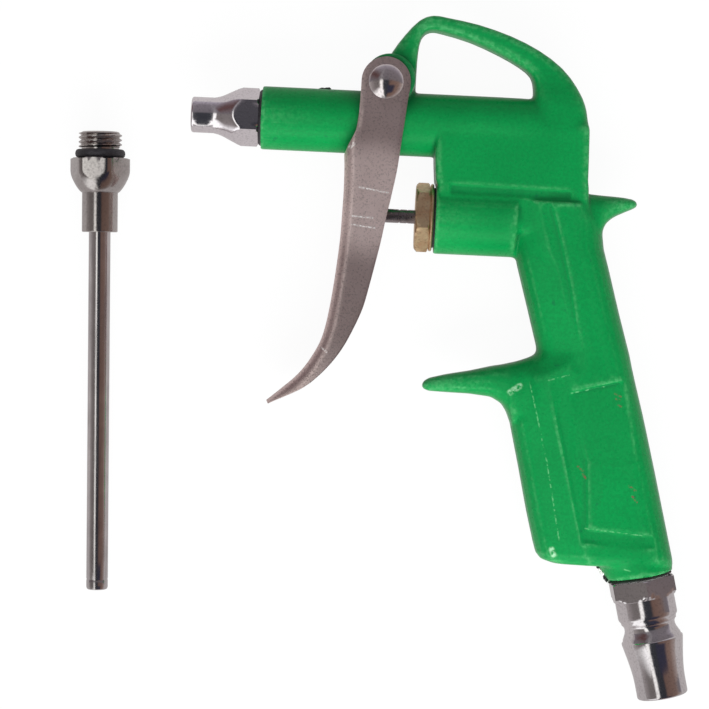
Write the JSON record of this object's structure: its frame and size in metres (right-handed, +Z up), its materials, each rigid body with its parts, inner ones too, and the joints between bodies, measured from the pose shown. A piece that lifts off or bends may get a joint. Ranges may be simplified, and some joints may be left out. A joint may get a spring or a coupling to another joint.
{
  "type": "pneumatic air duster",
  "caption": "Pistol-shaped air blow gun with a cast body, hang loop, lever trigger, screw-in nozzle, quick-coupler inlet plug and a loose extension nozzle.",
  "frame": {"origin": "under the middle of the object's box, on the surface that it lies on", "axes": "the gun lies on its side: +X runs back along the barrel, +Y up to the hang loop, +Z up from the surface, along the rivet"},
  "size_m": [0.1776, 0.1857, 0.0244],
  "materials": {
    "green_paint": "gloss",
    "chrome": "polished",
    "nickel_steel": "satin",
    "rivet_steel": "polished",
    "yellow_zinc": "satin",
    "stem_steel": "satin",
    "spring_steel": "satin",
    "tube_steel": "polished",
    "rubber": "matte",
    "seal_tape": "matte"
  },
  "bodies": {
    "gun": {"gun_body": "green_paint", "pivot_rivet": "rivet_steel", "gland_nut": "yellow_zinc", "gland_gasket": "rubber", "stem_packing": "rubber", "packing_washer": "yellow_zinc", "cartridge_o_ring": "rubber", "valve_spring": "spring_steel", "inlet_plug": "chrome", "inlet_seal": "seal_tape"},
    "lever": {"trigger_lever": "nickel_steel"},
    "stem": {"valve_stem": "stem_steel", "poppet_seal": "rubber", "poppet_disc": "yellow_zinc", "poppet_nut": "stem_steel"},
    "nozzle": {"short_nozzle": "chrome", "nozzle_o_ring": "rubber"},
    "extension": {"extension_fitting": "chrome", "extension_o_ring": "rubber", "extension_tube": "tube_steel"}
  },
  "joints": [
    {"name": "trigger_pull", "type": "hinge", "parent": "gun", "child": "lever", "pos_m": [-0.00234, 0.07327, 0.01165], "axis": [0, 0, 1], "range_deg": [0, 8], "stiffness_Nm_per_rad": 2.1, "springref_deg": -6.3},
    {"name": "stem_push", "type": "slide", "parent": "gun", "child": "stem", "axis": [1, 0, 0], "range_m": [0, 0.005], "deforming": ["valve_spring"]},
    {"name": "nozzle_out", "type": "slide", "parent": "gun", "child": "nozzle", "axis": [-1, 0, 0], "range_m": [0, 0.012]},
    {"name": "extension_lift", "type": "slide", "parent": "gun", "child": "extension", "axis": [0, 0, 1], "range_m": [0, 0.06]}
  ],
  "couplings": [
    {"joint": "stem_push", "follows": "trigger_pull", "m_per_rad": 0.0358}
  ]
}
